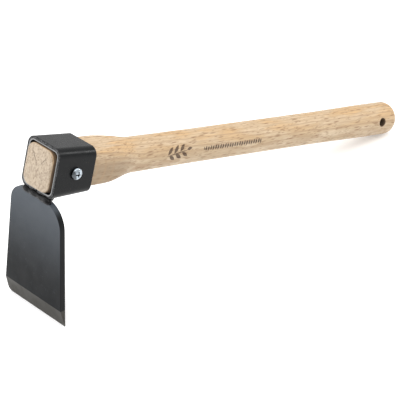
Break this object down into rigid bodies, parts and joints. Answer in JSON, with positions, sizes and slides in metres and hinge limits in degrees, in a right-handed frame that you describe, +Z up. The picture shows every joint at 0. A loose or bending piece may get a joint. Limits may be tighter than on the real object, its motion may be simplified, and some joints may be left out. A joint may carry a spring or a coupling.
{
  "type": "hand hoe",
  "caption": "Short-handled hand hoe: a flat plate blade with a ground edge, welded under a tapered square steel eye on a round wooden handle with a hanging hole.",
  "frame": {"origin": "on the floor, under the middle of the tool's box, with the tool lying on its cutting edge and its tail", "axes": "+Z up, +X level from the blade towards the handle's tail, so the locking screw is on the -Y flank; the tool's middle plane is Y = 0"},
  "size_m": [0.4962, 0.0834, 0.173],
  "materials": {
    "handle_wood": "sanded and lightly oiled",
    "eye_paint": "satin black",
    "blade_paint": "satin black with a blue-grey cast",
    "weld_paint": "gloss black over weld metal",
    "screw_zinc": "bright zinc plate"
  },
  "bodies": {
    "root": {"handle": "handle_wood", "eye_band": "eye_paint", "eye_seam_weld": "weld_paint", "blade": "blade_paint", "front_weld": "weld_paint", "rear_weld": "weld_paint", "flank_screw": "screw_zinc"}
  },
  "joints": []
}
